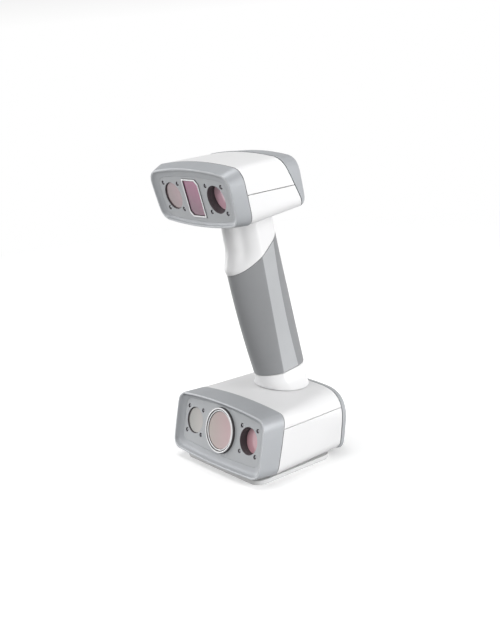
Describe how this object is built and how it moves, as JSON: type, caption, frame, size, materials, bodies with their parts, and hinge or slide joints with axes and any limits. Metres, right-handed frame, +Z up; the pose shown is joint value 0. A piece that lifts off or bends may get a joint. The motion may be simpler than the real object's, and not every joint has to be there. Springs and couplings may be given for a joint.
{
  "type": "handheld 3d scanner",
  "caption": "Handheld structured-light scanner: a wide lower head with projector and cameras, a leaning rubber grip and a smaller upper head with infrared projector and buttons.",
  "frame": {"origin": "centre of the overall box, on the plane that the foot pad rests on", "axes": "+Z up, -Y towards the lenses, +X to the right of someone who faces the lenses"},
  "size_m": [0.111, 0.099, 0.2368],
  "materials": {
    "white_shell": "satin-gloss injection-moulded white plastic with a very fine grain",
    "grey_bezel": "satin mid-grey painted plastic, slightly metallic",
    "grey_panel": "satin light-grey plastic lens panel",
    "black_plastic": "matt black moulded plastic",
    "grip_rubber": "soft-touch grey rubber with a fine matt texture",
    "foot_rubber": "light-grey anti-slip rubber",
    "chrome_trim": "bright polished chrome trim",
    "milky_glass": "coated cover glass that looks milky grey",
    "pink_glass": "pink-tinted coated filter glass",
    "magenta_glass": "deep magenta infrared filter glass",
    "aluminium_part": "bead-blasted aluminium",
    "circuit_board": "green solder-resist circuit board",
    "steel_screw": "zinc-plated steel machine screw",
    "light_guide": "frosted clear status-light plastic",
    "cable_black": "black jacketed cable bundle"
  },
  "bodies": {
    "scanner_body": {"lower_top_shell": "white_shell", "lower_bottom_shell": "white_shell", "lower_front_bezel": "grey_bezel", "lower_rear_frame": "grey_bezel", "lower_rear_cover": "grey_bezel", "lower_rear_screw_1": "steel_screw", "lower_rear_screw_2": "steel_screw", "lower_rear_screw_3": "steel_screw", "lower_rear_screw_4": "steel_screw", "cable_socket": "black_plastic", "foot_pad": "foot_rubber", "lower_lens_panel": "grey_panel", "lower_left_window": "milky_glass", "lower_left_led_board": "circuit_board", "lower_left_lens_barrel": "black_plastic", "lower_left_camera": "aluminium_part", "lower_right_window": "pink_glass", "lower_right_led_board": "circuit_board", "lower_right_lens_barrel": "black_plastic", "lower_right_camera": "aluminium_part", "projector_ring": "chrome_trim", "projector_window": "pink_glass", "projector_lens": "black_plastic", "projector_engine": "black_plastic", "lower_optics_bracket": "aluminium_part", "projector_heat_sink": "aluminium_part", "fan_frame": "black_plastic", "main_board": "circuit_board", "upper_top_shell": "white_shell", "upper_bottom_shell": "white_shell", "upper_front_bezel": "grey_bezel", "upper_rear_frame": "grey_bezel", "upper_rear_cover": "grey_bezel", "upper_rear_screw_1": "steel_screw", "upper_rear_screw_2": "steel_screw", "status_light_guide": "light_guide", "control_board": "circuit_board", "upper_lens_panel": "grey_panel", "upper_left_window": "milky_glass", "upper_left_led_board": "circuit_board", "upper_left_lens_barrel": "black_plastic", "upper_left_camera": "aluminium_part", "upper_right_window": "pink_glass", "upper_right_led_board": "circuit_board", "upper_right_lens_barrel": "black_plastic", "upper_right_camera": "aluminium_part", "infrared_window_frame": "chrome_trim", "infrared_window": "magenta_glass", "infrared_projector": "black_plastic", "upper_optics_bracket": "aluminium_part", "grip_sleeve": "grip_rubber", "upper_collar": "white_shell", "lower_collar": "white_shell", "handle_core": "black_plastic", "wiring_harness": "cable_black"},
    "minus_button": {"minus_button": "white_shell"},
    "scan_button": {"scan_button": "white_shell"},
    "plus_button": {"plus_button": "white_shell"},
    "fan_rotor": {"fan_rotor": "black_plastic"}
  },
  "joints": [
    {"name": "minus_button_press", "type": "slide", "parent": "scanner_body", "child": "minus_button", "axis": [0, -0.9925, -0.1219], "range_m": [0, 0.0008], "stiffness_N_per_m": 800},
    {"name": "scan_button_press", "type": "slide", "parent": "scanner_body", "child": "scan_button", "axis": [0, -0.9925, -0.1219], "range_m": [0, 0.0008], "stiffness_N_per_m": 800},
    {"name": "plus_button_press", "type": "slide", "parent": "scanner_body", "child": "plus_button", "axis": [0, -0.9925, -0.1219], "range_m": [0, 0.0008], "stiffness_N_per_m": 800},
    {"name": "fan_spin", "type": "hinge", "parent": "scanner_body", "child": "fan_rotor", "pos_m": [0, 0.032, 0.0245], "axis": [0, 1, 0], "continuous": true}
  ]
}
